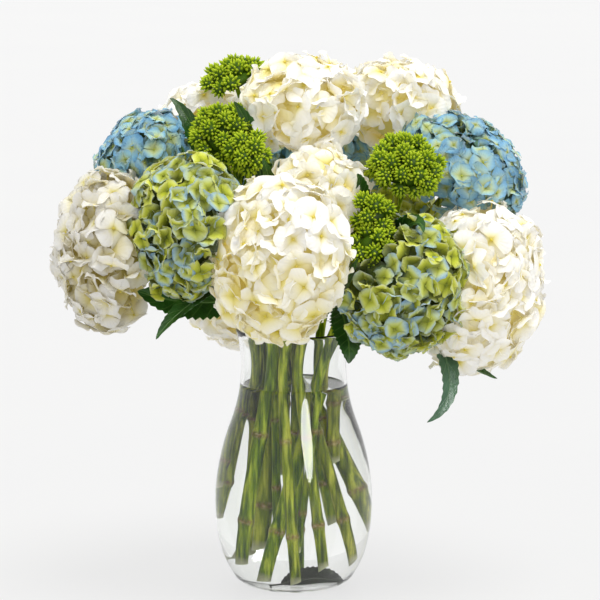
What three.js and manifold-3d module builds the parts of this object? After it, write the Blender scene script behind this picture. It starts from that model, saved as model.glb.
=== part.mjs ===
// Hydrangeas in a clear glass vase: fourteen mophead blooms, three sprays of green buds,
// their leaves and stems, the vase and its water. Millimetres, +Z up, the front faces -Y.
// The origin is the centre of the vase's foot.
import * as THREE from 'three';
import { ConvexHull } from 'three/addons/math/ConvexHull.js';
import { mergeVertices } from 'three/addons/utils/BufferGeometryUtils.js';
import Module from 'manifold-3d';

const wasm = await Module();
wasm.setup();

// Driving dimensions of the vase and water
const VASE_SIDES = 26;
const GLASS_STEPS = 9;
const GLASS_WALL = 3;
const GLASS_FLOOR = 5;
const FLOOR_CURVE = 2;
const TOP_BAND = 4;
const BEVEL = 1;
const RIM_HEIGHT = 247;
const WATER_LEVEL = 193;
// Outer face of the glass from the foot up, as [radius, height]
const GLASS_OUTLINE = [
  [46, 0], [56, 7], [66, 25], [72.6, 50], [75, 84], [72.3, 112], [66, 140], [57.5, 165],
  [52.8, 183], [50.8, 198], [50, 214], [52.2, 234], [55, RIM_HEIGHT],
];

// Driving dimensions of what the vase holds; gap is left between pieces that touch
const GAP = 0.3;
const STEM_RADIUS = 4.8;
const STEM_SIDES = 6;
const KNUCKLE_SWELL = 1.17;
const KNUCKLE_HALF = 4;
const SPRAY_RADIUS = 3;
const BRANCH_RADIUS = 2.2;
const SEAT_RADIUS = 6;
const BUD_SEAT_RADIUS = 3.4;
const BASE_DEPTH = 0.66;
const SEED = 61;

// How stems bend above the neck, and the holes that they stand in
const NECK_HEIGHT = 196;
const LEAVE_PULL = 70;
const ARRIVE_PULL = 46;
const BEND_STEPS = 6;
const TOP_TAPER = 0.22;
const HOLE_CLEARANCE = 0.5;
const KNUCKLES = [0.25, 0.72];
const CUT_FOOT = 0.94;
const BRANCH_STEPS = 4;
const BRANCH_PULL = 0.4;
const BRANCH_TUCK = 3;
const JOIN_TOLERANCE = 0.02;

// How florets and buds stand out of a head, as shares of its size or of their spacing
const FLORETS = 19;
const LOWEST_FLORET = -0.62;
const FLORET_DISORDER = 0.12;
const FLORET_LEVEL = 0.98;
const FLORET_RISE = 0.07;
const PETAL_DROOP = 0.06;
const PETALS = 4;
const PETAL_REACH = 0.94;
const NOTCH_REACH = 0.66;
const NOTCH_DEPTH = 0.93;
const EYE_DEPTH = 0.9;
const HOLLOW_DEPTH = 0.74;
const HALFWAY_DEPTH = 0.8;
const KNOBS = 26;
const LOWEST_KNOB = -0.62;
const KNOB_DISORDER = 0.08;
const KNOB_RISE = 0.08;
const KNOB_HOLLOW = 0.82;
const LEAST_SHARE = 0.15;
const GOLDEN_ANGLE = Math.PI * (3 - Math.sqrt(5));

// How a leaf is cut and folded
const BLADE = 0.8;
const PETIOLE_HALF_WIDTH = 1;
const PETIOLE_SHARE = 0.16;
const PETIOLE_THICK = 1.8;
const PETIOLE_OUT = 12;
const LEAF_WIDEST = 0.8;
const LEAF_FULLNESS = 0.75;
const TEETH = 5;
const TOOTH_DEPTH = 0.2;
const FOLD = 0.28;
const LEAF_ROOM = 0.6;

// Colour, roughness and how glassy each material is
const MATERIALS = {
  glass: { color: '#e8eeec', roughness: 0.04, opacity: 0.3 },
  water: { color: '#dfe9e4', roughness: 0.03, opacity: 0.35 },
  white: { color: '#f4f0e2', roughness: 0.75 },
  blue: { color: '#8db4d9', roughness: 0.75 },
  green: { color: '#c3cf7f', roughness: 0.75 },
  bud: { color: '#8fb324', roughness: 0.8 },
  stem: { color: '#6f9a2f', roughness: 0.55 },
  leaf: { color: '#2c6428', roughness: 0.5 },
  greyleaf: { color: '#5f8269', roughness: 0.6 },
};

// Each bloom: where its centre lies, radius across its axis, half depth along it, and the way
// it faces (heading 0 is to the front, 90 to the right; lift 90 is straight up). Its stem
// stands on foot, runs straight to neck at the water's surface, then curves to the bloom. Stem
// is its radius, where it isn't the usual one.
const BLOOMS = [
  { name: 'white_front', tint: 'white', centre: [-14, -122, 333], across: 77, depth: 52,
    heading: -45, lift: 8, foot: [2, -42, 10], neck: [-10, -34] },
  { name: 'white_mid', tint: 'white', centre: [23, -62, 384], across: 47, depth: 44,
    heading: 8, lift: 40, foot: [49, -13, 25], neck: [6, -18] },
  { name: 'white_crown', tint: 'white', centre: [9, 0, 459], across: 60, depth: 48,
    heading: 0, lift: 72, foot: [2, 7, 10], neck: [3, 1.5] },
  { name: 'white_rise', tint: 'white', centre: [106, 72, 448], across: 59, depth: 47,
    heading: 130, lift: 55, foot: [56, 17, 51], neck: [3, 15], stem: 6 },
  { name: 'white_left', tint: 'white', centre: [-173, -30, 327], across: 76, depth: 50,
    heading: -72, lift: 6, foot: [-56, 14, 88], neck: [-36, 6], stem: 6 },
  { name: 'white_right', tint: 'white', centre: [173, -38, 293], across: 84, depth: 57,
    heading: 66, lift: -4, foot: [-24, -16, 11], neck: [22, -4.5], stem: 5.6 },
  { name: 'white_rear', tint: 'white', centre: [-83, 82, 424], across: 56, depth: 46,
    heading: -150, lift: 40, foot: [-22, 14, 36], neck: [-14, 14], stem: 6 },
  { name: 'white_back', tint: 'white', centre: [-45, 112, 281], across: 72, depth: 56,
    heading: -160, lift: -5, foot: [-26, 44, 27], neck: [-18, 34] },
  { name: 'blue_left', tint: 'blue', centre: [-138, 38, 400], across: 56, depth: 46,
    heading: -74, lift: 40, foot: [-50, 28, 58], neck: [-29, 22], stem: 6 },
  { name: 'blue_right', tint: 'blue', centre: [161, 20, 398], across: 68, depth: 44,
    heading: 66, lift: 56, foot: [28, 3.4, 112], neck: [28, 8] },
  { name: 'blue_back', tint: 'blue', centre: [22, 122, 376], across: 66, depth: 52,
    heading: 180, lift: 38, foot: [25, 36, 55], neck: [4, 38] },
  { name: 'green_left', tint: 'green', centre: [-101, -78, 356], across: 70, depth: 46,
    heading: -56, lift: 8, foot: [-45, -27, 25], neck: [-21, -23], stem: 6.4 },
  { name: 'green_right', tint: 'green', centre: [101, -98, 305], across: 68, depth: 56,
    heading: 38, lift: 0, foot: [25, -32, 23], neck: [5, -35] },
  { name: 'green_back', tint: 'green', centre: [89, 108, 306], across: 70, depth: 54,
    heading: 146, lift: 0, foot: [25.2, 29.8, 165], neck: [24, 29] },
];

// Each spray of green buds: one stem that forks below its clusters
const SPRAYS = [
  { name: 'left', foot: [-12, -2, 60], neck: [-14, -4], fork: [-48, -14, 350],
    clusters: [
      { name: 'crown', centre: [-57, 25, 483], across: 34, depth: 17, heading: -50, lift: 66 },
      { name: 'left', centre: [-67, -32, 437], across: 33, depth: 22, heading: -20, lift: 35 },
      { name: 'inner', centre: [-42, -64, 423], across: 24, depth: 19, heading: -10, lift: 25 },
    ] },
  { name: 'right', foot: [2, -22, 36], neck: [22, -27], fork: [88, -42, 342],
    clusters: [
      { name: 'right', centre: [105, -66, 410], across: 38, depth: 26, heading: 15, lift: 60 },
      { name: 'centre', centre: [74, -112, 339], across: 27, depth: 24, heading: 10, lift: -10 },
      { name: 'centre_top', centre: [73, -100, 369], across: 24, depth: 20, heading: 16, lift: 20 },
    ] },
  { name: 'back', foot: [-6, 40, 96], neck: [-5, 25], fork: [-26, 56, 345],
    clusters: [
      { name: 'rear_low', centre: [-66, 138, 380], across: 40, depth: 28, heading: -165, lift: 20 },
      { name: 'rear_high', centre: [-34, 112, 438], across: 36, depth: 26, heading: -170, lift: 50 },
    ] },
];

// Each leaf: the stem and the node of its bend that it grows on, the points that its rib bends
// towards and ends at, its width, and the way its upper side faces
const LEAVES = [
  { name: 'left_broad', stem: 'green_left', node: 3, bend: [-96, -60, 273], tip: [-145, -64, 293],
    width: 44, face: [-20, 30] },
  { name: 'left_hanging', stem: 'green_left', node: 4, bend: [-108, -104, 288], tip: [-126, -112, 256],
    width: 25, face: [-40, 25] },
  { name: 'front_low', stem: 'green_right', node: 4, bend: [54, -84, 255], tip: [51, -88, 229],
    width: 32, face: [10, 20] },
  { name: 'front_slim', stem: 'green_right', node: 3, bend: [41, -116, 286], tip: [58, -140, 336],
    width: 16, face: [-30, 10] },
  { name: 'right_hanging', stem: 'white_right', node: 5, bend: [176, -118, 210], tip: [123, -110, 178],
    width: 21, face: [20, 20], tint: 'greyleaf' },
  { name: 'right_under', stem: 'white_right', node: 4, bend: [147, -44, 222], tip: [190, -62, 210],
    width: 26, face: [60, 40] },
  { name: 'crown_left', stem: 'left', node: 5, bend: [-92, 4, 454], tip: [-116, 0, 466],
    width: 28, face: [-10, 25] },
  { name: 'bud_left', stem: 'left', node: 5, bend: [-96, -50, 400], tip: [-103, -70, 430],
    width: 22, face: [-50, 10] },
  { name: 'crown_upright', stem: 'left', node: 5, bend: [-21, -4, 419], tip: [-55, -56, 469],
    width: 24, face: [10, 15] },
  { name: 'inner_upright', stem: 'left', node: 4, bend: [-11, -94, 380], tip: [-28, -112, 424],
    width: 24, face: [0, 12] },
  { name: 'right_top', stem: 'right', node: 5, bend: [65, -71, 398], tip: [58, -102, 407],
    width: 20, face: [10, 20] },
  { name: 'right_inner', stem: 'right', node: 5, bend: [115, -117, 388], tip: [118, -138, 359],
    width: 23, face: [10, 20] },
  { name: 'back_left', stem: 'white_back', node: 3, bend: [-67, 92, 259], tip: [-131, 114, 259],
    width: 36, face: [-150, 30] },
  { name: 'back_mid', stem: 'green_back', node: 3, bend: [24, 100, 250], tip: [30, 160, 246],
    width: 30, face: [170, 40] },
  { name: 'back_right', stem: 'green_back', node: 3, bend: [80, 90, 236], tip: [116, 120, 206],
    width: 34, face: [140, 30] },
];

// A fallen leaf lies on the vase's floor, and the water leaves a low dome free over it
const SUNKEN_LEAF = {
  base: [-20, -26, 6.4], bend: [22, -22, 27], tip: [42, -17, 6.2], width: 23, face: [0, 42],
};
const SUNKEN_ROOM = { centre: [10, -23, GLASS_FLOOR], half: [41, 24, 26], turn: 7 };

const random = THREE.MathUtils.seededRandom;
const rad = THREE.MathUtils.degToRad;
const UP = new THREE.Vector3(0, 0, 1);
const vec = (p) => new THREE.Vector3(...p);
const jitter = (size) => size * (random() - 0.5);

function direction(heading, lift) {
  const turn = rad(heading);
  const rise = rad(lift);
  return new THREE.Vector3(
    Math.sin(turn) * Math.cos(rise),
    -Math.cos(turn) * Math.cos(rise),
    Math.sin(rise),
  );
}

function material(name) {
  const look = MATERIALS[name];
  const clear = look.opacity !== undefined;
  return new THREE.MeshStandardMaterial({
    color: look.color,
    roughness: look.roughness,
    metalness: 0,
    transparent: clear,
    opacity: clear ? look.opacity : 1,
  });
}

const model = new THREE.Group();

function place(name, geometry, tint, position = [0, 0, 0], quaternion = null) {
  const mesh = new THREE.Mesh(geometry, material(tint));
  mesh.name = name;
  mesh.position.set(...position);
  if (quaternion) mesh.quaternion.copy(quaternion);
  model.add(mesh);
}

// Solids for cutting and joining
function toSolid(geometry) {
  const bare = geometry.clone();
  bare.deleteAttribute('normal');
  bare.deleteAttribute('uv');
  const merged = mergeVertices(bare, 1e-4);
  return new wasm.Manifold(new wasm.Mesh({
    numProp: 3,
    vertProperties: new Float32Array(merged.attributes.position.array),
    triVerts: new Uint32Array(merged.index.array),
  }));
}

function toGeometry(solid) {
  const mesh = solid.getMesh();
  const geometry = new THREE.BufferGeometry();
  geometry.setAttribute('position', new THREE.BufferAttribute(mesh.vertProperties, 3));
  geometry.setIndex(new THREE.BufferAttribute(mesh.triVerts, 1));
  return geometry;
}

function indexed(points, triangles) {
  const geometry = new THREE.BufferGeometry().setFromPoints(points);
  geometry.setIndex(triangles.flat());
  return geometry;
}

// The vase and its water, turned about the upright axis
const flat = (pairs) => pairs.map(([r, z]) => new THREE.Vector2(r, z));
const glassCurve = new THREE.SplineCurve(flat(GLASS_OUTLINE.slice(1)));

function turned(profile) {
  return new THREE.LatheGeometry(flat(profile), VASE_SIDES).rotateX(Math.PI / 2);
}

// Points up the glass as [radius, height], moved inwards by inset
function glassFace(inset) {
  const face = [];
  for (let i = 0; i <= GLASS_STEPS; i += 1) {
    const on = glassCurve.getPoint(i / GLASS_STEPS);
    const slope = glassCurve.getTangent(i / GLASS_STEPS);
    face.push([on.x - inset * slope.y, on.y + inset * slope.x]);
  }
  return face;
}

const between = (face, low, high) => face.filter(([, z]) => z > low && z < high);

function radiusAt(face, height) {
  const above = face.findIndex(([, z]) => z >= height);
  const [r0, z0] = face[above - 1];
  const [r1, z1] = face[above];
  return r0 + ((r1 - r0) * (height - z0)) / (z1 - z0);
}

function vaseGeometry() {
  const [footRadius] = GLASS_OUTLINE[0];
  const [rimRadius] = GLASS_OUTLINE.at(-1);
  const inner = glassFace(GLASS_WALL);
  return turned([
    [0, 0],
    [footRadius, 0],
    ...between(glassFace(0), 0, RIM_HEIGHT - BEVEL),
    [rimRadius, RIM_HEIGHT - BEVEL],
    [rimRadius - GLASS_WALL / 2, RIM_HEIGHT],
    ...between(inner, GLASS_FLOOR + FLOOR_CURVE, RIM_HEIGHT - BEVEL).reverse(),
    [footRadius, GLASS_FLOOR],
    [0, GLASS_FLOOR],
  ]);
}

function waterGeometry() {
  const [footRadius] = GLASS_OUTLINE[0];
  const face = glassFace(GLASS_WALL + GAP);
  return turned([
    [0, GLASS_FLOOR + GAP],
    [footRadius - GAP, GLASS_FLOOR + GAP],
    ...between(face, GLASS_FLOOR + FLOOR_CURVE, WATER_LEVEL - TOP_BAND),
    [radiusAt(face, WATER_LEVEL), WATER_LEVEL],
    [0, WATER_LEVEL],
  ]);
}

// A stem's line: straight from its foot to the neck, then a smooth bend to its top
function stemLine(foot, neck, top, aim) {
  const rise = neck.clone().sub(foot).normalize();
  const leave = neck.clone().addScaledVector(rise, LEAVE_PULL);
  const arrive = top.clone().addScaledVector(aim, -ARRIVE_PULL);
  const line = new THREE.CurvePath();
  line.add(new THREE.LineCurve3(foot, neck));
  line.add(new THREE.CubicBezierCurve3(neck, leave, arrive, top));
  return line;
}

// Rings of points round a line, one for each [radius, distance along it], never twisting
function ringsAlong(line, profile, origin) {
  const length = line.getLength();
  const sideways = new THREE.Vector3(1, 0, 0);
  return profile.map(([radius, distance]) => {
    const t = Math.min(distance / length, 1);
    const centre = line.getPoint(t).sub(origin);
    const along = line.getTangent(t);
    sideways.addScaledVector(along, -sideways.dot(along)).normalize();
    const across = along.clone().cross(sideways);
    return Array.from({ length: STEM_SIDES }, (_, j) => {
      const angle = (2 * Math.PI * j) / STEM_SIDES;
      return centre.clone()
        .addScaledVector(sideways, radius * Math.cos(angle))
        .addScaledVector(across, radius * Math.sin(angle));
    });
  });
}

function tube(rings) {
  const sides = rings[0].length;
  const last = (rings.length - 1) * sides;
  const triangles = [];
  for (let i = 0; i < rings.length - 1; i += 1) {
    for (let j = 0; j < sides; j += 1) {
      const a = i * sides + j;
      const b = i * sides + ((j + 1) % sides);
      triangles.push([a, b, b + sides], [a, b + sides, a + sides]);
    }
  }
  for (let j = 1; j < sides - 1; j += 1) {
    triangles.push([0, j + 1, j], [last, last + j, last + j + 1]);
  }
  return indexed(rings.flat(), triangles);
}

// Radii along a stem: a cut foot, knuckles where old leaves grew, and a thinner top
function stemProfile(line, radius) {
  const straight = line.curves[0].getLength();
  const bend = line.curves[1].getLength();
  const profile = [[radius * CUT_FOOT, 0]];
  for (const height of KNUCKLES) {
    const middle = height * straight;
    profile.push([radius, middle - KNUCKLE_HALF]);
    profile.push([radius * KNUCKLE_SWELL, middle]);
    profile.push([radius, middle + KNUCKLE_HALF]);
  }
  for (let i = 0; i <= BEND_STEPS; i += 1) {
    const share = i / BEND_STEPS;
    profile.push([radius * (1 - TOP_TAPER * share), straight + bend * share]);
  }
  return profile;
}

// The plain straight hole that a stem stands in, from under its foot to above the water
function stemHole(line, radius) {
  const { v1: foot, v2: neck } = line.curves[0];
  const rise = neck.clone().sub(foot).normalize();
  const below = foot.clone().addScaledVector(rise, -HOLE_CLEARANCE);
  const above = neck.clone().addScaledVector(rise, NECK_HEIGHT - WATER_LEVEL);
  const shaft = new THREE.LineCurve3(below, above);
  const wide = radius * KNUCKLE_SWELL + HOLE_CLEARANCE;
  return tube(ringsAlong(shaft, [[wide, 0], [wide, shaft.getLength()]], new THREE.Vector3()));
}

// A closed skin round a centre: the points are joined as the hull of their directions joins
function skin(points) {
  const order = new Map(points.map((point, i) => [point.dir, i]));
  const hull = new ConvexHull().setFromPoints(points.map((point) => point.dir));
  const triangles = hull.faces.map((face) => {
    const first = face.edge;
    return [first, first.next, first.next.next].map((edge) => order.get(edge.head().point));
  });
  return indexed(points.map((point) => point.at), triangles);
}

// Directions spread evenly from the top down to a lowest height, with a little disorder
function spread(count, lowest, disorder) {
  return Array.from({ length: count }, (_, i) => {
    const z = 1 - ((1 - lowest) * (i + 0.5)) / count;
    const r = Math.sqrt(1 - z * z);
    const turn = i * GOLDEN_ANGLE;
    const even = new THREE.Vector3(r * Math.cos(turn), r * Math.sin(turn), z);
    return even.add(vec([jitter(disorder), jitter(disorder), jitter(disorder)])).normalize();
  });
}

// The hollows between neighbouring florets lie where three meet, and halfway between two
function hollowsBetween(centres) {
  const pole = new THREE.Vector3(0, 0, -1);
  const { faces } = new ConvexHull().setFromPoints([...centres, pole]);
  const meets = faces.map((face) => face.normal.clone());
  const halfways = faces.flatMap((face) => [face.edge, face.edge.next, face.edge.next.next])
    .map((edge) => [edge.tail().point, edge.head().point])
    .filter(([a, b]) => a.x < b.x && a !== pole && b !== pole)
    .map(([a, b]) => a.clone().add(b).normalize());
  return { meets, halfways };
}

const swell = (dir, size, share) => new THREE.Vector3(
  dir.x * size.across * share,
  dir.y * size.across * share,
  dir.z * size.depth * share,
);

const raised = (dir, size, share) => ({ dir, at: swell(dir, size, share) });

// The flat seat under a head, where its stem ends
function seat(size, radius) {
  const height = -BASE_DEPTH * size.depth;
  const rim = Array.from({ length: STEM_SIDES }, (_, j) => {
    const angle = (2 * Math.PI * j) / STEM_SIDES;
    return new THREE.Vector3(radius * Math.cos(angle), radius * Math.sin(angle), height);
  });
  return [...rim, new THREE.Vector3(0, 0, height)].map((at) => ({
    dir: new THREE.Vector3(at.x / size.across, at.y / size.across, at.z / size.depth).normalize(),
    at,
  }));
}

function halfSpacing(centres, i) {
  const angles = centres.filter((_, j) => j !== i).map((other) => other.angleTo(centres[i]));
  return Math.min(...angles) / 2;
}

// A mophead: each floret has a sunken eye and four petals, raised rims with notches between
function floretPoints(size) {
  const centres = spread(FLORETS, LOWEST_FLORET, FLORET_DISORDER);
  const points = [...seat(size, SEAT_RADIUS)];
  centres.forEach((centre, i) => {
    const reach = halfSpacing(centres, i);
    const sideways = centre.clone().cross(centres[(i + 1) % FLORETS]).normalize();
    const lift = FLORET_LEVEL + jitter(FLORET_RISE);
    const twist = random() * Math.PI;
    const around = (angle, away) => centre.clone()
      .applyAxisAngle(sideways, away)
      .applyAxisAngle(centre, twist + angle);
    points.push(raised(centre, size, EYE_DEPTH * lift));
    for (let petal = 0; petal < PETALS; petal += 1) {
      const middle = (2 * Math.PI * petal) / PETALS;
      const droop = 1 + jitter(PETAL_DROOP);
      points.push(raised(around(middle, PETAL_REACH * reach), size, lift * droop));
      points.push(raised(around(middle + Math.PI / PETALS, NOTCH_REACH * reach), size, NOTCH_DEPTH * lift));
    }
  });
  const { meets, halfways } = hollowsBetween(centres);
  meets.forEach((dir) => points.push(raised(dir, size, HOLLOW_DEPTH)));
  halfways.forEach((dir) => points.push(raised(dir, size, HALFWAY_DEPTH)));
  return points;
}

// A cluster of buds: knobs packed over a core
function budPoints(size) {
  const knobs = spread(KNOBS, LOWEST_KNOB, KNOB_DISORDER);
  return [
    ...seat(size, BUD_SEAT_RADIUS),
    ...knobs.map((dir) => raised(dir, size, 1 + jitter(KNOB_RISE))),
    ...hollowsBetween(knobs).meets.map((dir) => raised(dir, size, KNOB_HOLLOW)),
  ];
}

// Heads press flat against each other: the plane between two neighbours bounds them both
function pressed(points, head, heads) {
  const unturn = head.turn.clone().invert();
  for (const other of heads) {
    const apart = other.middle.clone().sub(head.middle);
    const distance = apart.length();
    if (other === head || distance > head.across + other.across) continue;
    const reachHere = reachAlong(head, apart);
    const reachThere = reachAlong(other, apart);
    const meet = (distance ** 2 + reachHere ** 2 - reachThere ** 2) / (2 * distance);
    const least = LEAST_SHARE * distance;
    const limit = THREE.MathUtils.clamp(meet, least, distance - least) - GAP / 2;
    const towards = apart.normalize().applyQuaternion(unturn);
    for (const point of points) {
      const past = point.at.dot(towards);
      if (past > limit) point.at.multiplyScalar(limit / past);
    }
  }
  return points;
}

// How far a head's outline lies from its centre, one way
function reachAlong(head, way) {
  const local = way.clone().normalize().applyQuaternion(head.turn.clone().invert());
  return 1 / Math.hypot(local.x / head.across, local.y / head.across, local.z / head.depth);
}

// Places a head and works out its outline points, before its neighbours press on it
function readyHead(row, makePoints) {
  const aim = direction(row.heading, row.lift);
  return {
    ...row,
    middle: vec(row.centre),
    aim,
    turn: new THREE.Quaternion().setFromUnitVectors(UP, aim),
    points: makePoints(row),
  };
}

// A skin with room cut out for the leaves that grow through it, without loose scraps
function cleared(geometry, head, rooms) {
  const placing = new THREE.Matrix4().compose(head.middle, head.turn, new THREE.Vector3(1, 1, 1));
  const unplace = placing.invert();
  let solid = toSolid(geometry);
  for (const room of rooms) {
    const local = toSolid(room.clone().applyMatrix4(unplace));
    if (solid.intersect(local).volume() > 0) solid = solid.subtract(local);
  }
  const pieces = solid.decompose();
  pieces.sort((a, b) => b.volume() - a.volume());
  return toGeometry(pieces[0]);
}

const headBase = (head) => head.middle.clone()
  .addScaledVector(head.aim, -BASE_DEPTH * head.depth - GAP);

// A toothed leaf folded along its rib, as a tube of flat sections. Margin makes it larger all
// round, for the slot that a bloom leaves free for it.
function leafGeometry(leaf, base, out, margin) {
  const bend = vec(leaf.bend).sub(base);
  const tip = vec(leaf.tip).sub(base);
  const start = out.clone().multiplyScalar(PETIOLE_OUT);
  const rib = new THREE.CubicBezierCurve3(new THREE.Vector3(), start, bend, tip);
  const hint = direction(...leaf.face);
  const steps = 2 * TEETH;
  const stalk = [PETIOLE_HALF_WIDTH + margin, PETIOLE_THICK + 2 * margin, 0];
  const sections = [leafSection(rib, hint, 0, ...stalk)];
  for (let i = 0; i <= steps; i += 1) {
    const share = i / steps;
    const outline = Math.sin(Math.PI * share ** LEAF_WIDEST) ** LEAF_FULLNESS;
    const cut = i % 2 === 1 ? 1 : 1 - TOOTH_DEPTH;
    const half = Math.max(PETIOLE_HALF_WIDTH, 0.5 * leaf.width * outline * cut) + margin;
    const t = PETIOLE_SHARE + (1 - PETIOLE_SHARE) * share;
    const fold = i === steps ? 0 : FOLD;
    sections.push(leafSection(rib, hint, t, ...(i === 0 ? stalk : [half, BLADE + 2 * margin, fold])));
  }
  return leafTube(sections);
}

// Six points round a leaf: left, rib and right above, then right, rib and left below
function leafSection(rib, hint, t, half, thick, fold) {
  const centre = rib.getPoint(t);
  const along = rib.getTangent(t);
  const up = hint.clone().addScaledVector(along, -hint.dot(along)).normalize();
  const side = along.clone().cross(up);
  return [[-1, 1], [0, 1], [1, 1], [1, -1], [0, -1], [-1, -1]].map(([across, face]) => centre.clone()
    .addScaledVector(side, across * half)
    .addScaledVector(up, Math.abs(across) * fold * half + (face * thick) / 2));
}

// Both faces of the blade are split into triangles alike, so they never cross
function leafTube(sections) {
  const sides = 6;
  const last = (sections.length - 1) * sides;
  const triangles = [];
  for (let i = 0; i < sections.length - 1; i += 1) {
    for (let j = 0; j < sides; j += 1) {
      const a = i * sides + j;
      const b = i * sides + ((j + 1) % sides);
      if (j === 3 || j === 4) triangles.push([a, b, a + sides], [b, b + sides, a + sides]);
      else triangles.push([a, b, b + sides], [a, b + sides, a + sides]);
    }
  }
  for (const [p, q, r] of [[0, 1, 4], [0, 4, 5], [1, 2, 3], [1, 3, 4]]) {
    triangles.push([p, r, q], [last + p, last + q, last + r]);
  }
  return indexed(sections.flat(), triangles);
}

// A stem for each bloom
function growStem(bloom) {
  const foot = vec(bloom.foot);
  const line = stemLine(foot, vec([...bloom.neck, NECK_HEIGHT]), headBase(bloom), bloom.aim);
  const radius = bloom.stem ?? STEM_RADIUS;
  const rings = ringsAlong(line, stemProfile(line, radius), foot);
  place(`stem_${bloom.name}`, tube(rings), 'stem', bloom.foot);
  return { name: bloom.name, line, radius };
}

// A spray's stem, with a branch from its fork to each cluster, joined as one
function growSpray(spray) {
  const foot = vec(spray.foot);
  const fork = vec(spray.fork);
  const neck = vec([...spray.neck, NECK_HEIGHT]);
  const aim = fork.clone().sub(neck).normalize();
  const line = stemLine(foot, neck, fork, aim);
  const start = fork.clone().addScaledVector(aim, -BRANCH_TUCK);
  let solid = toSolid(tube(ringsAlong(line, stemProfile(line, SPRAY_RADIUS), foot)));
  for (const { name } of spray.clusters) {
    const cluster = clusters.find((head) => head.name === name);
    const branch = branchLine(start, aim, headBase(cluster), cluster.aim);
    const step = branch.getLength() / BRANCH_STEPS;
    const profile = Array.from({ length: BRANCH_STEPS + 1 }, (_, i) => [BRANCH_RADIUS, i * step]);
    solid = solid.add(toSolid(tube(ringsAlong(branch, profile, foot))));
  }
  place(`spray_${spray.name}`, toGeometry(solid.simplify(JOIN_TOLERANCE)), 'stem', spray.foot);
  return { name: spray.name, line, radius: SPRAY_RADIUS };
}

function branchLine(start, aim, end, arrival) {
  const pull = BRANCH_PULL * start.distanceTo(end);
  return new THREE.CubicBezierCurve3(
    start,
    start.clone().addScaledVector(aim, pull),
    end.clone().addScaledVector(arrival, -pull),
    end,
  );
}

// A leaf on its stem's node; gives back the room that it needs
function growLeaf(leaf) {
  const stem = stems.find(({ name }) => name === leaf.stem);
  const straight = stem.line.curves[0].getLength();
  const total = stem.line.getLength();
  const share = leaf.node / BEND_STEPS;
  const t = (straight + share * (total - straight)) / total;
  const on = stem.line.getPoint(t);
  const along = stem.line.getTangent(t);
  const out = vec(leaf.bend).sub(on);
  out.addScaledVector(along, -out.dot(along)).normalize();
  const base = on.addScaledVector(out, stem.radius * (1 - TOP_TAPER * share) + GAP);
  place(`leaf_${leaf.name}`, leafGeometry(leaf, base, out, 0), leaf.tint ?? 'leaf', base.toArray());
  return leafGeometry(leaf, base, out, LEAF_ROOM).translate(...base.toArray());
}

function placeHead(head, kind) {
  const geometry = cleared(skin(pressed(head.points, head, heads)), head, leafRooms);
  place(`${kind}_${head.name}`, geometry, head.tint ?? 'bud', head.centre, head.turn);
}

function placeSunkenLeaf() {
  const base = vec(SUNKEN_LEAF.base);
  const out = vec(SUNKEN_LEAF.bend).sub(base).normalize();
  place('sunken_leaf', leafGeometry(SUNKEN_LEAF, base, out, 0), 'leaf', SUNKEN_LEAF.base);
}

// Water with a hole for each stem and a low dome over the fallen leaf
function placeWater() {
  const dome = new THREE.SphereGeometry(1, 10, 6)
    .scale(...SUNKEN_ROOM.half)
    .rotateZ(rad(SUNKEN_ROOM.turn))
    .translate(...SUNKEN_ROOM.centre);
  const rooms = [dome, ...stems.map(({ line, radius }) => stemHole(line, radius))];
  const water = rooms.reduce((left, room) => left.subtract(toSolid(room)), toSolid(waterGeometry()));
  place('water', toGeometry(water), 'water');
}

random(SEED);
const blooms = BLOOMS.map((row) => readyHead(row, floretPoints));
const clusters = SPRAYS.flatMap((spray) => spray.clusters.map((row) => readyHead(row, budPoints)));
const heads = [...blooms, ...clusters];
const stems = [...blooms.map(growStem), ...SPRAYS.map(growSpray)];
const leafRooms = LEAVES.map(growLeaf);
blooms.forEach((head) => placeHead(head, 'bloom'));
clusters.forEach((head) => placeHead(head, 'buds'));
placeSunkenLeaf();
place('vase', vaseGeometry(), 'glass');
placeWater();

export default model;
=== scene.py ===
# %% [markdown]
# # Hydrangeas in a glass vase
# Fourteen mophead blooms, three sprays of green buds, their leaves and stems stand in a clear
# vase of water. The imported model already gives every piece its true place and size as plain
# faceted solids. This lesson grows the fine pieces in the same places and gives them their
# finish. A bloom could be one displaced ball, but a mophead is a hundred small flowers, so each
# one here is scattered flower by flower.

# %% Load the frame
import random
from collections import namedtuple
from math import atan, atan2, cos, exp, hypot, pi, radians, sin, sqrt, tan

import bmesh
import bpy
import numpy as np
from mathutils import Matrix, Vector, noise


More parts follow.
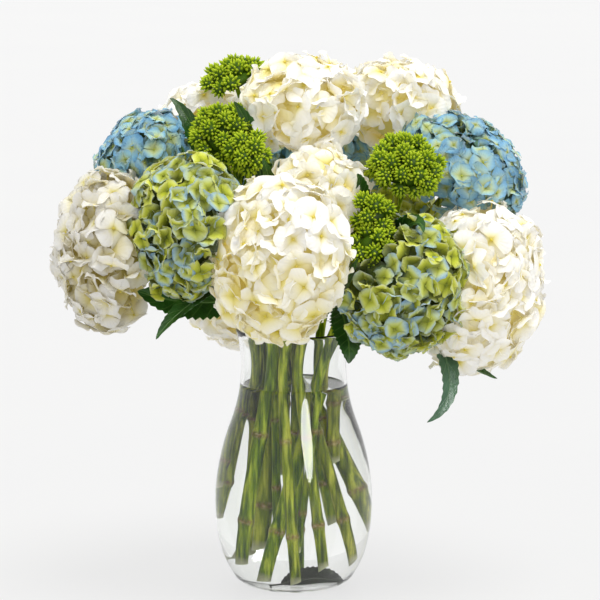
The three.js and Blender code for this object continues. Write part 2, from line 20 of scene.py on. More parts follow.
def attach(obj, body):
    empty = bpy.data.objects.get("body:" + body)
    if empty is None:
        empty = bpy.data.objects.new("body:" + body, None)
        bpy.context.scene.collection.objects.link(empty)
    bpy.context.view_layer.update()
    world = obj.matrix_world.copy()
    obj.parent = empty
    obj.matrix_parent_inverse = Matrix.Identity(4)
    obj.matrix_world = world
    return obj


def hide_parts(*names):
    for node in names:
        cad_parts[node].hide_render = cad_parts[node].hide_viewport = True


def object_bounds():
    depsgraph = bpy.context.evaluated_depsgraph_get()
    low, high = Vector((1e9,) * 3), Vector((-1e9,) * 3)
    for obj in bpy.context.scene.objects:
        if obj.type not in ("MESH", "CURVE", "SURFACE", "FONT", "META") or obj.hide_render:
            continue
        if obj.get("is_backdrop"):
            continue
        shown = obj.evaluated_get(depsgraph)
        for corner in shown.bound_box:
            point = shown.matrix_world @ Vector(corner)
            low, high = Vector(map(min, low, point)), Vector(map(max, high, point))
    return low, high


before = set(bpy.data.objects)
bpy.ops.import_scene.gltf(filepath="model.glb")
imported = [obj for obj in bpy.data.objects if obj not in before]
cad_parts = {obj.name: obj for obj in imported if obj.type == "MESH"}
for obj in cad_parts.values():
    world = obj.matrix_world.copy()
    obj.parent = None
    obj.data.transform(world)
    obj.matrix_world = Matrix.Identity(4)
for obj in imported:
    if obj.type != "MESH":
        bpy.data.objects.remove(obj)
cad_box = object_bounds()
print("nodes in the frame:", len(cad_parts))

# %% [markdown]
# The layout is written in millimetres, as a florist's sketch would be, and every finished piece
# is scaled to metres once. Each bloom has a centre, a radius across its axis, a half depth along
# it and the way it faces: heading 0 is to the front, 90 to the right, and lift 90 straight up.
# Its stem stands on foot, runs straight to neck at the water's surface and then curves.

# %% Layout of the blooms
MM = 0.001
NECK_HEIGHT = 196
WATER_LEVEL = 193
STEM_RADIUS = 4.8
STOUT_RADIUS = 6

Bloom = namedtuple(
    "Bloom", "name tint centre across depth heading lift foot neck stem", defaults=[STEM_RADIUS]
)
BLOOMS = [Bloom(*row) for row in (
    ("white_front", "white", (-14, -122, 333), 77, 52, -45, 8, (2, -42, 10), (-10, -34)),
    ("white_mid", "white", (23, -62, 384), 47, 44, 8, 40, (49, -13, 25), (6, -18)),
    ("white_crown", "white", (9, 0, 459), 60, 48, 0, 72, (2, 7, 10), (3, 1.5)),
    ("white_rise", "white", (106, 72, 448), 59, 47, 130, 55, (56, 17, 51), (3, 15), STOUT_RADIUS),
    ("white_left", "white", (-173, -30, 327), 76, 50, -72, 6, (-56, 14, 88), (-36, 6), STOUT_RADIUS),
    ("white_right", "white", (173, -38, 293), 84, 57, 66, -4, (-24, -16, 11), (22, -4.5), 5.6),
    ("white_rear", "white", (-83, 82, 424), 56, 46, -150, 40, (-22, 14, 36), (-14, 14), STOUT_RADIUS),
    ("white_back", "white", (-45, 112, 281), 72, 56, -160, -5, (-26, 44, 27), (-18, 34)),
    ("blue_left", "blue", (-138, 38, 400), 56, 46, -74, 40, (-50, 28, 58), (-29, 22), STOUT_RADIUS),
    ("blue_right", "blue", (161, 20, 398), 68, 44, 66, 56, (28, 3.4, 112), (28, 8)),
    ("blue_back", "blue", (22, 122, 376), 66, 52, 180, 38, (25, 36, 55), (4, 38)),
    ("green_left", "green", (-101, -78, 356), 70, 46, -56, 8, (-45, -27, 25), (-21, -23), 6.4),
    ("green_right", "green", (101, -98, 305), 68, 56, 38, 0, (25, -32, 23), (5, -35)),
    ("green_back", "green", (89, 108, 306), 70, 54, 146, 0, (25.2, 29.8, 165), (24, 29)),
)]

# %% [markdown]
# A spray of green buds is one slim stem that forks under its clusters.

# %% Layout of the bud sprays
Cluster = namedtuple("Cluster", "name centre across depth heading lift")
Spray = namedtuple("Spray", "name foot neck fork clusters")
SPRAYS = [
    Spray("left", (-12, -2, 60), (-14, -4), (-48, -14, 350), [
        Cluster("crown", (-57, 25, 483), 34, 17, -50, 66),
        Cluster("left", (-67, -32, 437), 33, 22, -20, 35),
        Cluster("inner", (-42, -64, 423), 24, 19, -10, 25),
    ]),
    Spray("right", (2, -22, 36), (22, -27), (88, -42, 342), [
        Cluster("right", (105, -66, 410), 38, 26, 15, 60),
        Cluster("centre", (74, -112, 339), 27, 24, 10, -10),
        Cluster("centre_top", (73, -100, 369), 24, 20, 16, 20),
    ]),
    Spray("back", (-6, 40, 96), (-5, 25), (-26, 56, 345), [
        Cluster("rear_low", (-66, 138, 380), 40, 28, -165, 20),
        Cluster("rear_high", (-34, 112, 438), 36, 26, -170, 50),
    ]),
]

# %% [markdown]
# A leaf grows from a node of a stem's bend. Its rib bends towards one point and ends at another.
# Face is the heading and lift of its upper side.

# %% Layout of the leaves
Leaf = namedtuple("Leaf", "name stem node bend tip width face tint", defaults=["leaf"])
LEAVES = [Leaf(*row) for row in (
    ("left_broad", "green_left", 3, (-96, -60, 273), (-145, -64, 293), 44, (-20, 30)),
    ("left_hanging", "green_left", 4, (-108, -104, 288), (-126, -112, 256), 25, (-40, 25)),
    ("front_low", "green_right", 4, (54, -84, 255), (51, -88, 229), 32, (10, 20)),
    ("front_slim", "green_right", 3, (41, -116, 286), (58, -140, 336), 16, (-30, 10)),
    ("right_hanging", "white_right", 5, (176, -118, 210), (123, -110, 178), 21, (20, 20), "grey"),
    ("right_under", "white_right", 4, (147, -44, 222), (190, -62, 210), 26, (60, 40)),
    ("crown_left", "left", 5, (-92, 4, 454), (-116, 0, 466), 28, (-10, 25)),
    ("bud_left", "left", 5, (-96, -50, 400), (-103, -70, 430), 22, (-50, 10)),
    ("crown_upright", "left", 5, (-21, -4, 419), (-55, -56, 469), 24, (10, 15)),
    ("inner_upright", "left", 4, (-11, -94, 380), (-28, -112, 424), 24, (0, 12)),
    ("right_top", "right", 5, (65, -71, 398), (58, -102, 407), 20, (10, 20)),
    ("right_inner", "right", 5, (115, -117, 388), (118, -138, 359), 23, (10, 20)),
    ("back_left", "white_back", 3, (-67, 92, 259), (-131, 114, 259), 36, (-150, 30)),
    ("back_mid", "green_back", 3, (24, 100, 250), (30, 160, 246), 30, (170, 40)),
    ("back_right", "green_back", 3, (80, 90, 236), (116, 120, 206), 34, (140, 30)),
)]
print("blooms", len(BLOOMS), "sprays", len(SPRAYS), "leaves", len(LEAVES))

# %% [markdown]
# The camera stands where the photographer's did: about 0.81 m high and 3.3 m away, looking a
# little down, with a long lens that takes in 569 mm at the flowers. It comes first, so that any
# later step can be looked at.

# %% Camera
CAMERA_AIM = Vector((0.006, 0, 0.274))
CAMERA_DISTANCE = 3.3
CAMERA_PITCH = radians(9.4)
FIELD_WIDTH = 0.5685

data = bpy.data.cameras.new("camera")
half_field = atan(FIELD_WIDTH / 2 / CAMERA_DISTANCE)
data.lens = data.sensor_width / 2 / tan(half_field)
camera = bpy.data.objects.new("camera", data)
back = Vector((0, -cos(CAMERA_PITCH), sin(CAMERA_PITCH)))
camera.location = CAMERA_AIM + back * CAMERA_DISTANCE
camera.rotation_euler = (-back).to_track_quat("-Z", "Y").to_euler()
bpy.context.scene.collection.objects.link(camera)
bpy.context.scene.camera = camera
print("lens", round(camera.data.lens), "mm")

# %% [markdown]
# Small helpers that every step uses: the way that a heading and lift point, a smooth step, a new
# mesh with a layer of paint, and the last move of each piece, which scales it to metres, makes it
# ride on the model's body and lets it stand for its plain solid.

# %% Shared helpers
UP = Vector((0, 0, 1))


def direction(heading, lift):
    turn = radians(heading)
    rise = radians(lift)
    flat = cos(rise)
    return Vector((sin(turn) * flat, -cos(turn) * flat, sin(rise)))


def clamp(value, low, high):
    return min(max(value, low), high)


def smooth(low, high, value):
    share = clamp((value - low) / (high - low), 0, 1)
    return share * share * (3 - 2 * share)


def new_sheet(attribute):
    """An empty mesh in the making, and its layer of paint."""
    bm = bmesh.new()
    return bm, bm.verts.layers.float_color.new(attribute)


def to_mesh(bm, name):
    mesh = bpy.data.meshes.new(name)
    bm.to_mesh(mesh)
    bm.free()
    return mesh


def into_scene(name, data):
    thing = bpy.data.objects.new(name, data)
    bpy.context.scene.collection.objects.link(thing)
    return thing


def turn_to(way):
    """The turn that brings straight up to a way."""
    return UP.rotation_difference(way).to_matrix().to_4x4()


def finish_piece(name, bm, node, material):
    bmesh.ops.scale(bm, vec=(MM, MM, MM), verts=bm.verts)
    for face in bm.faces:
        face.smooth = True
    piece = into_scene(name, to_mesh(bm, name))
    piece.data.materials.append(material)
    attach(piece, "root")
    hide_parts(node)
    return piece


def triangles(piece):
    return sum(len(face.vertices) - 2 for face in piece.data.polygons)


# %% [markdown]
# A node material is written with one small class. Every surface of a plant reads a painted
# attribute of its own mesh, so that its colour follows the petal, the leaf or the stem wherever
# it turns.

# %% Material helpers
def rgb(code):
    """A display colour such as #8fb4d8 as the linear colour that a shader wants."""
    parts = [int(code[i:i + 2], 16) / 255 for i in (1, 3, 5)]
    linear = [((c + 0.055) / 1.055) ** 2.4 if c > 0.04045 else c / 12.92 for c in parts]
    return (*linear, 1)


class Paint:
    """A material, and short calls that add nodes to it."""

    def __init__(self, name, **constants):
        self.material = bpy.data.materials.new(name)
        self.material.use_nodes = True
        self.shader = self.material.node_tree.nodes["Principled BSDF"]
        for socket, value in constants.items():
            self.give(self.shader, socket.replace("_", " "), value)

    def give(self, node, socket, value):
        """Gives an input a value, or links another node's output to it."""
        if isinstance(value, bpy.types.NodeSocket):
            self.material.node_tree.links.new(value, node.inputs[socket])
        else:
            node.inputs[socket].default_value = value

    def add(self, kind, inputs=None, **settings):
        node = self.material.node_tree.nodes.new(kind)
        for key, value in settings.items():
            setattr(node, key, value)
        for key, value in (inputs or {}).items():
            self.give(node, key, value)
        return node

    def painted(self, attribute):
        """The four channels of a painted attribute."""
        source = self.add("ShaderNodeAttribute", attribute_name=attribute)
        split = self.add("ShaderNodeSeparateColor", {"Color": source.outputs["Color"]})
        return [*split.outputs, source.outputs["Alpha"]]

    def ramp(self, factor, stops):
        """A colour ramp from its stops, which are positions and their colours."""
        node = self.add("ShaderNodeValToRGB", {"Fac": factor})
        elements = node.color_ramp.elements
        while len(elements) < len(stops):
            elements.new(0.5)
        for element, (position, code) in zip(elements, stops.items()):
            element.position = position
            element.color = rgb(code)
        return node.outputs["Color"]

    def mix(self, factor, first, second):
        inputs = {0: factor, 6: first, 7: second}
        return self.add("ShaderNodeMix", inputs, data_type="RGBA").outputs[2]

    def maths(self, operation, *values):
        inputs = dict(enumerate(values))
        return self.add("ShaderNodeMath", inputs, operation=operation).outputs[0]

    def times(self, first, second):
        return self.maths("MULTIPLY", first, second)

    def stretch(self, value, low, high, to_low=0, to_high=1):
        inputs = {"Value": value, "From Min": low, "From Max": high, "To Min": to_low,
                  "To Max": to_high}
        return self.add("ShaderNodeMapRange", inputs).outputs["Result"]

    def grain(self, scale, detail=3, squeeze=(1, 1, 1)):
        """Soft noise in the object's own space."""
        place = self.add("ShaderNodeTexCoord").outputs["Object"]
        mapped = self.add("ShaderNodeMapping", {"Vector": place, "Scale": squeeze})
        inputs = {"Vector": mapped.outputs["Vector"], "Scale": scale, "Detail": detail}
        return self.add("ShaderNodeTexNoise", inputs).outputs["Fac"]

    def finish(self, colour, height=None, distance=0, strength=0):
        """Gives the shader its colour and fine relief, and returns the material."""
        self.give(self.shader, "Base Color", colour)
        if height is not None:
            inputs = {"Height": height, "Distance": distance, "Strength": strength}
            relief = self.add("ShaderNodeBump", inputs)
            self.give(self.shader, "Normal", relief.outputs["Normal"])
        return self.material


# %% [markdown]
# A petal's paint holds four things: how far along the petal a point lies, how far across it, a
# number of its own floret, and how deep the point lies in the head. A petal could be one tint,
# but a real one is greenest at the eye and finely veined from the eye outwards. The eye's tint
# and the deep tint that the petals take deeper in the head are partly the petal's own colour
# and partly painted shade, as shade falls most on a petal's inner part and between florets.
# The left bloom's petals are a shaded copy of the white ones, a shade duller and greyer:
# painted shade. Light also passes through a petal, which subsurface gives, and goes from petal
# to petal many more times than is traced, for which a faint glow of the petal's own colour
# stands in: painted light.

# %% Petal materials
PETAL_VEINS = 34
FRECKLES = 0.1


def petal_veins(paint, along, across):
    """Fine ridges that fan out from the eye."""
    side = paint.maths("SUBTRACT", across, 0.5)
    angle = paint.maths("ARCTAN2", side, paint.maths("ADD", along, 0.25))
    waves = paint.maths("SINE", paint.times(angle, PETAL_VEINS))
    return paint.times(waves, paint.stretch(along, 0.1, 0.5))


def petal_material(name, bloom_ramp, second_ramp, deep, deep_share, glow):
    paint = Paint(
        name, Roughness=0.62, Specular_IOR_Level=0.3, Sheen_Weight=0.08, Emission_Strength=glow,
        Subsurface_Weight=0.4, Subsurface_Radius=(1.0, 0.88, 0.62), Subsurface_Scale=0.003,
    )
    along, across, own, depth = paint.painted("tone")
    uneven = paint.maths("ADD", along, paint.stretch(paint.grain(90), 0, 1, -0.09, 0.09))
    first = paint.ramp(uneven, bloom_ramp)
    second = paint.ramp(uneven, second_ramp)
    patch = paint.stretch(paint.maths("ADD", own, paint.grain(16)), 0.85, 1.3)
    colour = paint.mix(patch, first, second)
    # Painted shade, partly the inner florets' own green: the deeper a point lies, the more it takes
    # the deep tint.
    shade = paint.times(depth, deep_share)
    colour = paint.mix(shade, colour, rgb(deep))
    speck = paint.stretch(paint.grain(420, 2), 0.58, 0.72, 0, FRECKLES)
    colour = paint.mix(speck, colour, rgb(deep))
    paint.give(paint.shader, "Emission Color", colour)
    return paint.finish(colour, petal_veins(paint, along, across), 0.0002, 0.3)


PETAL_TINTS = {
    "white": (
        {0: "#ccba3c", 0.12: "#e8dc98", 0.3: "#eee9d6", 0.7: "#efede7", 1: "#f2f1ec"},
        {0: "#c2b234", 0.22: "#decf78", 0.46: "#e7deb0", 0.8: "#ebe7d2", 1: "#eeebdd"},
        "#e4d47a", 0.95, 0.12,
    ),
    # A shaded copy of the white tints, duller and greyer: painted shade for the left bloom.
    "ivory": (
        {0: "#b8a83c", 0.12: "#d4ca8e", 0.3: "#d8d2be", 0.7: "#dbd8cf", 1: "#dfddd6"},
        {0: "#b4a438", 0.22: "#ccbe72", 0.46: "#d3cba4", 0.8: "#d8d3c0", 1: "#dad7ca"},
        "#c4b464", 0.95, 0.08,
    ),
    "blue": (
        {0: "#a4ac34", 0.16: "#bcc68c", 0.36: "#96bcc0", 0.75: "#70a6c8", 1: "#5a96c0"},
        {0: "#9ca630", 0.3: "#b8c486", 0.55: "#a4c4ae", 0.8: "#84b2c2", 1: "#6ca4c0"},
        "#48683c", 0.9, 0.03,
    ),
    "green": (
        {0: "#74800e", 0.2: "#98a018", 0.5: "#bcc230", 0.82: "#d4d868", 1: "#bcd0b4"},
        {0: "#808a16", 0.22: "#a6ae30", 0.46: "#bcc674", 0.72: "#9cbcbc", 1: "#74a0c6"},
        "#3c4e06", 0.95, 0.03,
    ),
}
PETALS = {kind: petal_material(f"{kind}_petals", *tints) for kind, tints in PETAL_TINTS.items()}
print("petal materials", sorted(PETALS))

# %% [markdown]
# A floret is four broad petals round a small eye. Each petal starts as a flat grid, is drawn
# into a rounded fan, bent down along an arc, cupped and rippled at its margin. Its underside is
# a copy that meets it at the rim, so the petal is a closed, very thin lens. Some florets lie open
# and some are half closed. A dozen of each kind are enough, because each is turned, sized and
# tinted anew where it lands. Those of a head's inner layer are half hidden, so their petals have
# a coarser grid. Open and curl are in degrees, and lengths in millimetres.

# %% Petals and florets
PETAL_THICKNESS = 0.45
PETAL_FOOT = 0.36
LEAST_CURL = 0.05
CRISP_EDGE = -0.2

Habit = namedtuple("Habit", "reach width grid open curl cup ruffle eye spacing inner tip sink")
HABITS = {
    "white": Habit(19.5, 12.6, (5, 4), (-8, 36), (-74, 30), (-5, 2.5), 2.2, 1.5, 15, 15.5, 42, 8),
    "blue": Habit(12.8, 8.6, (4, 3), (-8, 34), (-66, 50), (-3.2, 2.6), 1.9, 1.0, 11.2, 13.4, 44, 6),
    "green": Habit(12.2, 8.6, (4, 3), (-8, 36), (-66, 56), (-3.4, 2.8), 1.9, 1.2, 10.9, 13, 46, 7),
}
FLORET_KINDS = 12
INNER_GRID = (3, 3)


def petal_point(x, y, habit, shape):
    """Where a point of the flat grid lies on the finished petal."""
    start, curl, cup, phase, waves, lean = shape
    round_x = x * sqrt(1 - y * y / 2)
    round_y = y * sqrt(1 - x * x / 2)
    along = (round_y + 1) / 2
    half_width = habit.width * (PETAL_FOOT + (1 - PETAL_FOOT) * smooth(0, 0.62, along))
    bend = start + curl * along
    radius = habit.reach / curl
    forward = radius * (sin(bend) - sin(start))
    rise = radius * (cos(start) - cos(bend))
    edge = hypot(round_x, round_y) ** 2.5 * smooth(0.1, 0.6, along)
    ripple = habit.ruffle * edge * sin(waves * atan2(round_x, round_y) + phase)
    rise += cup * round_x * round_x * along + ripple
    return Vector((round_x * half_width + lean * along * along, forward, rise))


def close_lens(bm, lower):
    """Gives a sheet an underside that meets it at a crisp rim. Lower sets each inner copy."""
    bm.normal_update()
    rim = {vert for edge in bm.edges if edge.is_boundary for vert in edge.verts}
    inside = [vert for vert in bm.verts if vert not in rim]
    made = bmesh.ops.duplicate(bm, geom=bm.verts[:] + bm.edges[:] + bm.faces[:])
    under = [item for item in made["geom"] if isinstance(item, bmesh.types.BMFace)]
    bmesh.ops.reverse_faces(bm, faces=under)
    for vert in inside:
        lower(vert, made["vert_map"][vert])
    bmesh.ops.remove_doubles(bm, verts=bm.verts, dist=1e-4)
    bm.normal_update()
    for edge in bm.edges:
        if len(edge.link_faces) == 2:
            edge.smooth = edge.link_faces[0].normal.dot(edge.link_faces[1].normal) > CRISP_EDGE


def make_petal(habit, rng, opening):
    start = radians(clamp(opening + rng.uniform(-12, 12), -20, 60))
    curl = radians(rng.uniform(*habit.curl))
    if abs(curl) < LEAST_CURL:
        curl = LEAST_CURL
    shape = (start, curl, rng.uniform(*habit.cup), rng.uniform(0, 6.28), rng.choice((3, 4, 5)),
             rng.uniform(-2, 2))
    bm, tone = new_sheet("tone")
    columns, rows = habit.grid
    bmesh.ops.create_grid(bm, x_segments=columns, y_segments=rows, size=1)
    for vert in bm.verts:
        x, y = vert.co.x, vert.co.y
        along = (y * sqrt(1 - x * x / 2) + 1) / 2
        vert[tone] = (along, (x + 1) / 2, 0, 0)
        vert.co = petal_point(x, y, habit, shape)

    def lower(vert, copy):
        copy.co.z -= PETAL_THICKNESS

    close_lens(bm, lower)
    return bm


def add_mesh(bm, mesh, matrix, own=None):
    """Adds a turned and moved copy of a mesh, whose paint may get a number of its own."""
    copy = mesh.copy()
    copy.transform(matrix)
    if own is not None:
        data = copy.color_attributes["tone"].data
        paint = np.empty(len(data) * 4, np.float32)
        data.foreach_get("color", paint)
        paint[2::4] = own
        data.foreach_set("color", paint)
    bm.from_mesh(copy)
    bpy.data.meshes.remove(copy)


def make_floret(habit, rng, name):
    whole, tone = new_sheet("tone")
    opening = rng.uniform(*habit.open)
    for quarter in range(4):
        petal = to_mesh(make_petal(habit, rng, opening), "petal")
        turn = Matrix.Rotation(radians(90 * quarter + rng.uniform(-8, 8)), 4, "Z")
        size = Matrix.Scale(rng.uniform(0.88, 1.08), 4)
        lift = Matrix.Translation((0, 0.4 * habit.eye, 0.35 * (quarter % 2)))
        add_mesh(whole, petal, turn @ lift @ size)
        bpy.data.meshes.remove(petal)
    eye = bmesh.ops.create_icosphere(whole, subdivisions=1, radius=habit.eye)
    for vert in eye["verts"]:
        vert.co.z += 0.5 * habit.eye
        vert[tone] = (0, 0.5, 0, 0)
    return to_mesh(whole, name)


def florets_of(kind, grid):
    rng = random.Random(f"florets {kind} {grid}")
    habit = HABITS[kind]._replace(grid=grid)
    return [make_floret(habit, rng, f"{kind}_floret") for _ in range(FLORET_KINDS)]


FLORETS = {kind: florets_of(kind, habit.grid) for kind, habit in HABITS.items()}
INNER_FLORETS = {kind: florets_of(kind, INNER_GRID) for kind in HABITS}
print("faces in a floret", {kind: len(made[0].polygons) for kind, made in FLORETS.items()})

# %% [markdown]
# A head is an ellipsoid in space. Its florets are thrown at it like darts and one that lands
# too near another is thrown again, which gives the close but uneven packing of a real mophead.
# A regular spiral would show as rows. A second, deeper layer fills the gaps between them.

# %% Where florets sit on a head
LOWEST = -0.74
INNER_SHARE = 0.84
CORE_SHARE = 0.68
TRIES = 5200
BASE_DEPTH = 0.66
NEAREST_WALL = 0.15
CLUSTERS = [cluster for spray in SPRAYS for cluster in spray.clusters]
HEADS = [*BLOOMS, *CLUSTERS]


def head_turn(head):
    return turn_to(direction(head.heading, head.lift))


def on_ellipsoid(way, across, depth):
    return Vector((way.x * across, way.y * across, way.z * depth))


def outward(way, across, depth):
    return Vector((way.x / across, way.y / across, way.z / depth)).normalized()


def dart_throw(rng, across, depth, spacing, lowest, tries):
    """Directions whose points on the ellipsoid keep a spacing."""
    found = []
    points = []
    for _ in range(tries):
        z = rng.uniform(lowest, 1)
        turn = rng.uniform(0, 2 * pi)
        flat = sqrt(1 - z * z)
        way = Vector((flat * cos(turn), flat * sin(turn), z))
        point = on_ellipsoid(way, across, depth)
        if all((point - other).length > spacing for other in points):
            found.append(way)
            points.append(point)
    return found


def reach_along(head, way):
    local = head_turn(head).transposed() @ way.normalized()
    return 1 / hypot(local.x / head.across, local.y / head.across, local.z / head.depth)


def walls_of(head):
    """The planes between a head and the heads that press on it, as (normal, distance)."""
    walls = []
    for other in HEADS:
        apart = Vector(other.centre) - Vector(head.centre)
        gap = apart.length
        if other is head or gap > head.across + other.across:
            continue
        here = reach_along(head, apart)
        there = reach_along(other, apart)
        meet = (gap ** 2 + here ** 2 - there ** 2) / (2 * gap)
        meet = clamp(meet, NEAREST_WALL * gap, (1 - NEAREST_WALL) * gap)
        walls.append((apart.normalized(), meet))
    return walls


print("planes round the front bloom:", len(walls_of(BLOOMS[0])))

# %% [markdown]
# Each floret is set with its eye outwards and then tipped at random, most by less than 45
# degrees, so that petals stand at all angles and overlap. Florets that would lie inside a
# neighbouring head or hide a leaf are left out. A slim stalk joins each outer one to the branching
# core of its head. A mophead has a full but lumpy outline, which soft noise gives, and petal tips
# that stray beyond it are drawn half the way back.

# %% Grow a mophead
CROWDING = 7
CLUMP_SIZE = 24
CLUMP_RISE = 9
OUTLINE = 0.96
SPILL = 0.5
# Between these shares of the head's size the petals go from the deep tint, partly painted shade, to
# their own colour.
PALE_SHARE = 0.96
DEEP_SHARE = 0.76
LEAF_ROOM = 5
INNER_LOWEST = -0.5
SEAT_RANGE = (0.4, 1.3)
SIZE_RANGE = (0.66, 1.2, 0.95)
STALK_ROOT = 0.45
# Up to this height above its centre the front bloom's florets take a yellower tint: partly young
# florets, partly painted shade.
SHADED_YOUNG_BELOW = 12
WALL_ROOM = 2
# The least own number of those low florets, which sets their partly painted shade.
SHADED_YOUNGEST = 0.55
OLDEST_WHITE = 0.66

bm, tone = new_sheet("tone")
bmesh.ops.create_cone(bm, cap_ends=True, segments=4, radius1=1.3, radius2=0.8, depth=1)
for vert in bm.verts:
    vert[tone] = (0.08, 0.5, 0.5, 0.6)
FLORET_STALK = to_mesh(bm, "floret_stalk")
LEAF_SPOTS = [
    (Vector(leaf.bend).lerp(Vector(leaf.tip), step / 6), 0.4 * leaf.width + LEAF_ROOM)
    for leaf in LEAVES
    for step in range(1, 7)
]


def stretched(start, end):
    """The matrix that lays a one millimetre stalk from start to end."""
    along = end - start
    middle = Matrix.Translation((start + end) / 2)
    return middle @ turn_to(along) @ Matrix.Diagonal((1, 1, along.length, 1))


def tipped(rng, place, normal, lean):
    """Stands something on a place, turned outwards and then tipped a random way."""
    tip = Vector((rng.gauss(0, 1), rng.gauss(0, 1), rng.gauss(0, 1))) * lean
    return Matrix.Translation(place) @ turn_to((normal + tip).normalized())


def pressed_out(place, walls, centre, room):
    return any((place - centre).dot(normal) > limit + room for normal, limit in walls)


def behind_leaf(seat):
    """Whether a floret would stand in the way of a leaf that lies against the head."""
    return any((seat - spot).length < room for spot, room in LEAF_SPOTS)


def core_of(bm, tone, head, place, walls):
    """The crowded inside of the head, seen only as a shade between the florets."""
    made = bmesh.ops.create_icosphere(bm, subdivisions=3, radius=1)
    centre = Vector(head.centre)
    for vert in made["verts"]:
        rough = 1 + 0.12 * noise.noise(vert.co * 5)
        local = on_ellipsoid(vert.co, head.across, head.depth) * CORE_SHARE * rough
        local.z = max(local.z, -BASE_DEPTH * head.depth)
        out = place.to_3x3() @ local
        for normal, limit in walls:
            past = out.dot(normal)
            if past > limit - WALL_ROOM:
                out *= (limit - WALL_ROOM) / past
        vert.co = centre + out
        vert[tone] = (0.1, 0.5, 0.4, 1)


def settle(bm, head, place):
    """Draws stray petal tips back to the head's outline, and paints how deep each point lies."""
    tone = bm.verts.layers.float_color.get("tone")
    back = place.inverted()
    for vert in bm.verts:
        local = back @ vert.co
        share = hypot(local.x / head.across, local.y / head.across, local.z / head.depth)
        outline = OUTLINE + CLUMP_RISE * noise.noise(vert.co / CLUMP_SIZE) / head.across
        if share > outline:
            vert.co = place @ (local * ((outline + SPILL * (share - outline)) / share))
        # The depth paint gives the deep tint, which is partly painted shade.
        vert[tone] = (*vert[tone][:3], 1 - smooth(DEEP_SHARE, PALE_SHARE, share))


def age_and_shade_of(rng, head, seat):
    """A floret's own number. The low florets of the front bloom get the yellowest, duller tint:
    partly as the youngest florets, partly as painted shade under the bloom.
    """
    own = rng.random()
    if head.name == "white_front" and seat.z < head.centre[2] + SHADED_YOUNG_BELOW:
        return SHADED_YOUNGEST + (1 - SHADED_YOUNGEST) * own
    return own * (OLDEST_WHITE if head.tint == "white" else 1)


def grow_mophead(head):
    habit = HABITS[head.tint]
    rng = random.Random(head.name)
    place = Matrix.Translation(head.centre) @ head_turn(head)
    centre = Vector(head.centre)
    walls = walls_of(head)
    bm, tone = new_sheet("tone")
    core_of(bm, tone, head, place, walls)
    layers = ((1, habit.spacing, LOWEST, FLORETS),
              (INNER_SHARE, habit.inner, INNER_LOWEST, INNER_FLORETS))
    for share, spacing, lowest, kinds in layers:
        across, tall = head.across * share, head.depth * share
        for way in dart_throw(rng, across, tall, spacing, lowest, TRIES):
            normal = place.to_3x3() @ outward(way, across, tall)
            surface = place @ on_ellipsoid(way, across, tall)
            clump = CLUMP_RISE * noise.noise(surface / CLUMP_SIZE)
            seat = surface + normal * (clump - habit.sink * rng.uniform(*SEAT_RANGE))
            if pressed_out(seat, walls, centre, CROWDING) or behind_leaf(seat):
                continue
            size = rng.triangular(*SIZE_RANGE)
            floret = rng.choice(kinds[head.tint])
            own = age_and_shade_of(rng, head, seat)
            stand = tipped(rng, seat, normal, tan(radians(habit.tip)) / 2)
            spin = Matrix.Rotation(rng.uniform(0, 2 * pi), 4, "Z")
            add_mesh(bm, floret, stand @ spin @ Matrix.Scale(size, 4), own)
            if share == 1:
                root = centre + (seat - centre) * STALK_ROOT
                add_mesh(bm, FLORET_STALK, stretched(root, seat))
    settle(bm, head, place)
    return finish_piece(
        f"mophead_{head.name}", bm, f"bloom_{head.name}",
        # The left bloom takes the shaded copy of the white petals: painted shade.
        PETALS["ivory" if head.name == "white_left" else head.tint],
    )


print("triangles in the blooms", sum(triangles(grow_mophead(bloom)) for bloom in BLOOMS))

# %% [markdown]
# The green clusters are hundreds of small closed buds, packed into lumps like those of a
# cauliflower. The same dart throw places the lumps on the cluster and the buds on each lump.
# A bud is a small pointed grain, eight millimetres long and half sunk in its lump.

# %% Bud material
PLANT_GLOW = (0.8, 1, 0.3)

paint = Paint("green_buds", Roughness=0.5, Specular_IOR_Level=0.12, Subsurface_Weight=0.15,
              Subsurface_Radius=PLANT_GLOW, Subsurface_Scale=0.002)
along, _, own, depth = paint.painted("tone")
young = paint.ramp(along, {0: "#5c7e06", 0.4: "#8eaa10", 1: "#bccc34"})
ripe = paint.ramp(along, {0: "#4e6e06", 0.45: "#7c9a0a", 1: "#a8ba22"})
age = paint.maths("ADD", own, paint.stretch(paint.grain(60), 0.3, 0.7, -0.3, 0.3))
colour = paint.mix(age, young, ripe)
# Painted shade: the heart, the lump cores and, by half, the stalks are darkened to this deep green,
# which shows only in the gaps between the buds.
colour = paint.mix(paint.times(depth, 0.85), colour, rgb("#334d0a"))
BUD_GREEN = paint.finish(colour, paint.grain(900), 0.0003, 0.4)

# %% Grow a bud cluster
LUMP_SPACING = 12.5
LUMP_RADIUS = 8.6
BUD_SPACING = 3.2
BUD_WIDE = 1.4
BUD_LONG = 4
BUD_LEAN = 0.12
BUD_GATHER = 0.35
LUMP_TRIES = 1500
BUD_TRIES = 420
LUMP_CORE = 0.82
HEART_SHARE = 0.9
LUMP_LOWEST = -0.6
BUD_LOWEST = -0.35

bm, tone = new_sheet("tone")
bmesh.ops.create_icosphere(bm, subdivisions=1, radius=1)
for vert in bm.verts:
    height = vert.co.z
    vert[tone] = (0.5 + 0.5 * height, 0.5, 0.5, 0)
    taper = BUD_WIDE * (1 - 0.3 * max(height, 0))
    vert.co = Vector((vert.co.x * taper, vert.co.y * taper, height * BUD_LONG))
BUD = to_mesh(bm, "bud")


